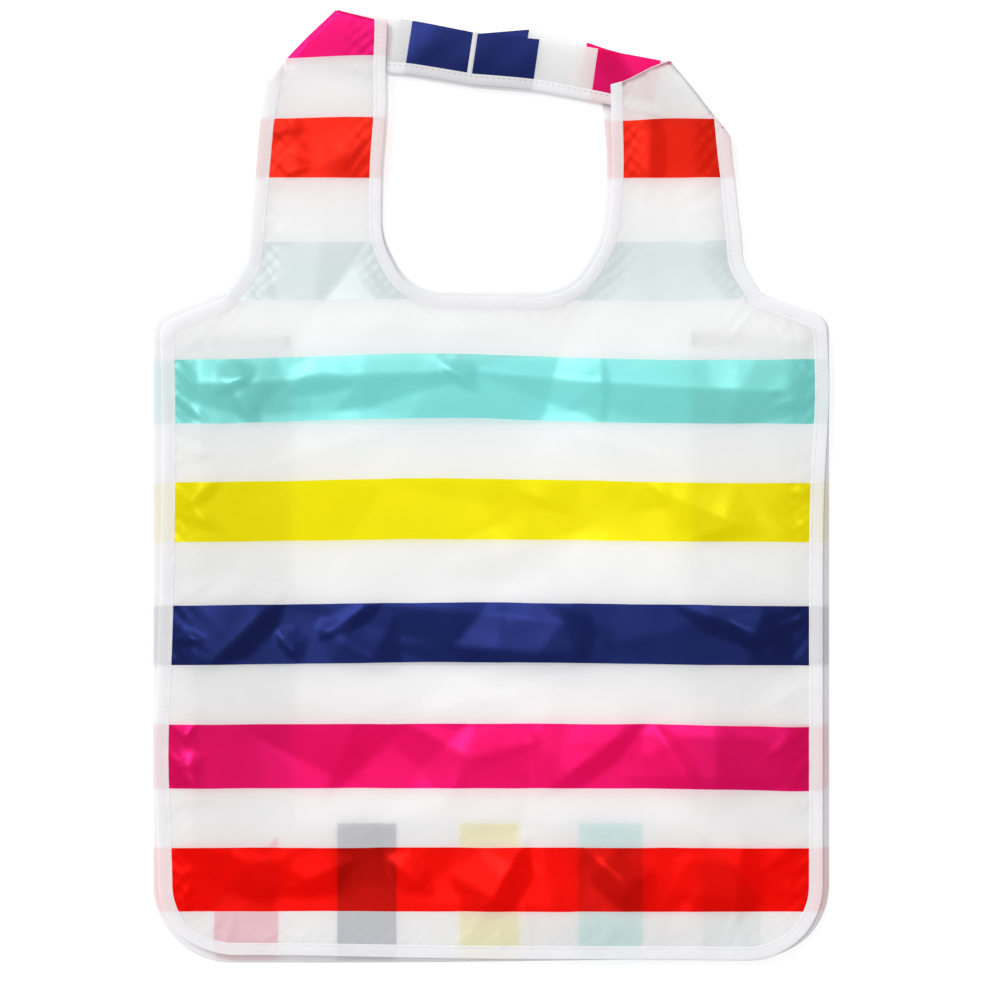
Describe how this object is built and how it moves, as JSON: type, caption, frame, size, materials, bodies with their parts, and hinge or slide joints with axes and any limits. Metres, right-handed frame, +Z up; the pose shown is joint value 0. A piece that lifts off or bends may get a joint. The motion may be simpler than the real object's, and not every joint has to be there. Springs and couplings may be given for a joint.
{
  "type": "foldable shopping tote bag",
  "caption": "Flat-folding cloth shopping tote with bound edges, a folded gusset round its sides and bottom, and two loop handles; it lies flat and opens into a deep box-shaped bag.",
  "frame": {"origin": "middle of the bottom fold, on the surface that the bag lies on", "axes": "+X across the bag, +Y from the bottom fold to the handles, +Z up from the table through the back and then the front panel"},
  "size_m": [0.4066, 0.5723, 0.0065],
  "materials": {
    "striped_cloth": "thin white coated taffeta, softly glossy, with broad printed stripes in red, magenta, navy, yellow, aqua and pale mint",
    "binding_tape": "thin white woven binding tape with one row of white stitching"
  },
  "bodies": {
    "back_body": {"back_mouth_binding": "binding_tape", "back_panel": "striped_cloth", "back_seam_binding": "binding_tape", "gusset_bottom": "striped_cloth", "gusset_left": "striped_cloth", "gusset_left_hem": "binding_tape", "gusset_right": "striped_cloth", "gusset_right_hem": "binding_tape"},
    "front_body": {"front_mouth_binding": "binding_tape", "front_panel": "striped_cloth", "front_seam_binding": "binding_tape"},
    "front_handle": {"front_grip_binding": "binding_tape", "front_grip_left": "striped_cloth", "front_grip_right": "striped_cloth", "front_grip_seam": "binding_tape", "front_strap_left": "striped_cloth", "front_strap_left_inner_binding": "binding_tape", "front_strap_left_outer_binding": "binding_tape", "front_strap_right": "striped_cloth", "front_strap_right_inner_binding": "binding_tape", "front_strap_right_outer_binding": "binding_tape"},
    "back_handle": {"back_grip_binding": "binding_tape", "back_grip_left": "striped_cloth", "back_grip_right": "striped_cloth", "back_grip_seam": "binding_tape", "back_strap_left": "striped_cloth", "back_strap_left_inner_binding": "binding_tape", "back_strap_left_outer_binding": "binding_tape", "back_strap_right": "striped_cloth", "back_strap_right_inner_binding": "binding_tape", "back_strap_right_outer_binding": "binding_tape"}
  },
  "joints": [
    {"name": "gusset_opening", "type": "slide", "parent": "back_body", "child": "front_body", "axis": [0, 0, 1], "range_m": [0, 0.13], "deforming": ["gusset_bottom", "gusset_left", "gusset_left_hem", "gusset_right", "gusset_right_hem"]},
    {"name": "front_handle_swing", "type": "hinge", "parent": "front_body", "child": "front_handle", "pos_m": [0, 0.39815, 0.0065], "axis": [1, 0, 0], "range_deg": [0, 150]},
    {"name": "back_handle_swing", "type": "hinge", "parent": "back_body", "child": "back_handle", "pos_m": [0, 0.40215, 0.0009], "axis": [1, 0, 0], "range_deg": [0, 90]}
  ],
  "couplings": [
    {"joint": "back_handle_swing", "follows": "front_handle_swing", "ratio": 0.6}
  ]
}
